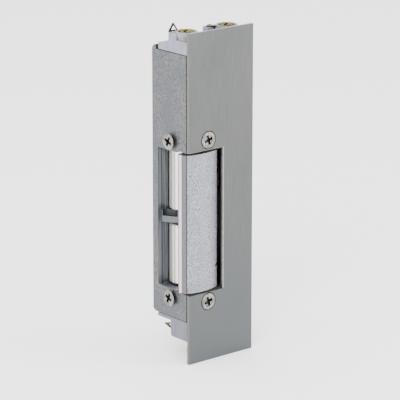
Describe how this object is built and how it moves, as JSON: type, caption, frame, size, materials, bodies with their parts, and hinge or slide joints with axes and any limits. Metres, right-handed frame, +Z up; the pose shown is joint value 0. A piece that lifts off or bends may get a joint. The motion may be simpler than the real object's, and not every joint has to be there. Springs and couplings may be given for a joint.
{
  "type": "electric door strike",
  "caption": "Surface-seated electric door strike: flat faceplate, cast case with swinging keeper and latch pocket, terminal blocks with brass screws at both ends.",
  "frame": {"origin": "centre of the faceplate's rear face, which seats on the door frame", "axes": "+Z up along the faceplate, +Y into the door frame, +X across the faceplate away from the latch side"},
  "size_m": [0.0282, 0.0185, 0.1117],
  "materials": {
    "plate_steel": "satin",
    "zinc_casting": "mottled satin",
    "zinc_sheet": "satin",
    "keeper_steel": "fine grained satin",
    "nickel": "polished",
    "steel": "machined",
    "spring_steel": "satin",
    "coil_plastic": "matte",
    "winding_wire": "enamelled",
    "tinned": "tinned",
    "block_plastic": "matte",
    "brass": "satin",
    "wire_sleeve": "smooth"
  },
  "bodies": {
    "case": {"faceplate": "plate_steel", "faceplate_screws": "nickel", "side_screws": "nickel", "housing": "zinc_casting", "cover": "zinc_sheet", "cover_screws": "nickel", "keeper_axle": "steel", "keeper_spring": "spring_steel", "lever_pin": "steel", "lever_spring": "spring_steel", "yoke": "steel", "core": "steel", "core_screw": "nickel", "bobbin": "coil_plastic", "winding": "winding_wire", "coil_pins": "tinned", "armature_pin": "steel", "armature_spring": "spring_steel", "upper_terminal_block": "block_plastic", "upper_left_strip": "tinned", "upper_right_strip": "tinned", "upper_clamp_washers": "brass", "upper_terminal_screws": "brass", "lower_terminal_block": "block_plastic", "lower_left_strip": "tinned", "lower_right_strip": "tinned", "lower_clamp_washers": "brass", "lower_terminal_screws": "brass", "block_screws": "nickel", "link_wires": "wire_sleeve"},
    "keeper": {"keeper": "keeper_steel", "hub_sleeve_upper": "nickel", "hub_sleeve_lower": "nickel"},
    "lever": {"locking_lever": "steel", "lever_finger": "steel"},
    "armature": {"armature": "steel"}
  },
  "joints": [
    {"name": "keeper_turn", "type": "hinge", "parent": "case", "child": "keeper", "pos_m": [-0.0049, 0.0103, 0], "axis": [0, 0, 1], "range_deg": [0, 30], "stiffness_Nm_per_rad": 0.02, "deforming": ["keeper_spring"]},
    {"name": "lever_turn", "type": "hinge", "parent": "case", "child": "lever", "pos_m": [0.007, 0.014, 0], "axis": [0, 0, 1], "range_deg": [0, 28.5], "stiffness_Nm_per_rad": 0.004, "deforming": ["lever_spring"]},
    {"name": "armature_tilt", "type": "hinge", "parent": "case", "child": "armature", "pos_m": [-0.0104, 0.00855, 0.0426], "axis": [0, 1, 0], "range_deg": [0, 5], "stiffness_Nm_per_rad": 0.01, "deforming": ["armature_spring"]}
  ],
  "couplings": [
    {"joint": "lever_turn", "follows": "keeper_turn", "ratio": 0.95}
  ]
}
